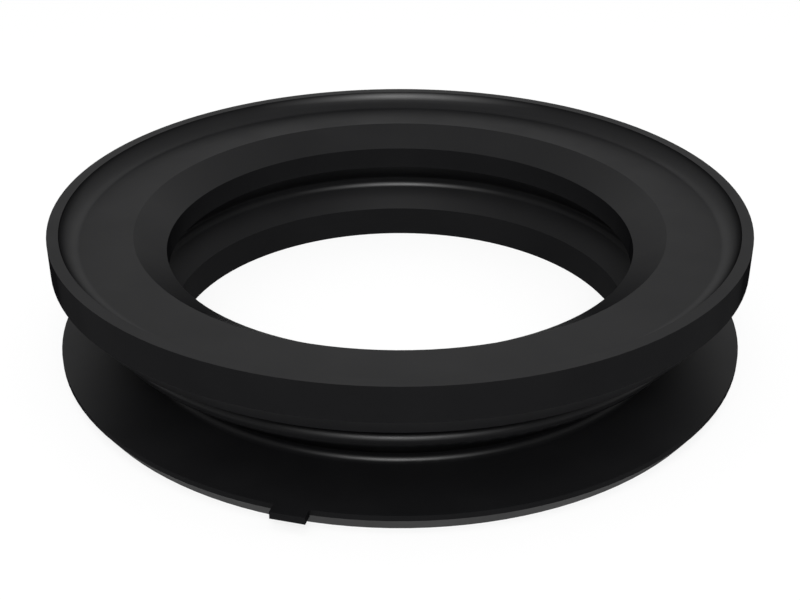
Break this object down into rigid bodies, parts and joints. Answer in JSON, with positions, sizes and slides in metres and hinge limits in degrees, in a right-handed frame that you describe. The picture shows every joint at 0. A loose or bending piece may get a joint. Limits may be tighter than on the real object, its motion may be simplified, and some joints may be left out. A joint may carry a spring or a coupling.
{
  "type": "track seal",
  "caption": "Black moulded ring seal for a crawler track joint: thick head with a raised sealing rim, waisted web, inner V groove and a flat foot flange with a small edge tab.",
  "frame": {"origin": "on the ring's axis, in the plane of the foot flange's bottom face", "axes": "+Z along the ring's axis from the foot flange up to the sealing rim; -Y is the side the picture looks at, with the tab 15 degrees to its left"},
  "size_m": [0.09, 0.0903, 0.0189],
  "materials": {
    "seal_ring": "smooth moulded black elastomer, satin"
  },
  "bodies": {
    "root": {"seal_ring": "seal_ring"}
  },
  "joints": []
}
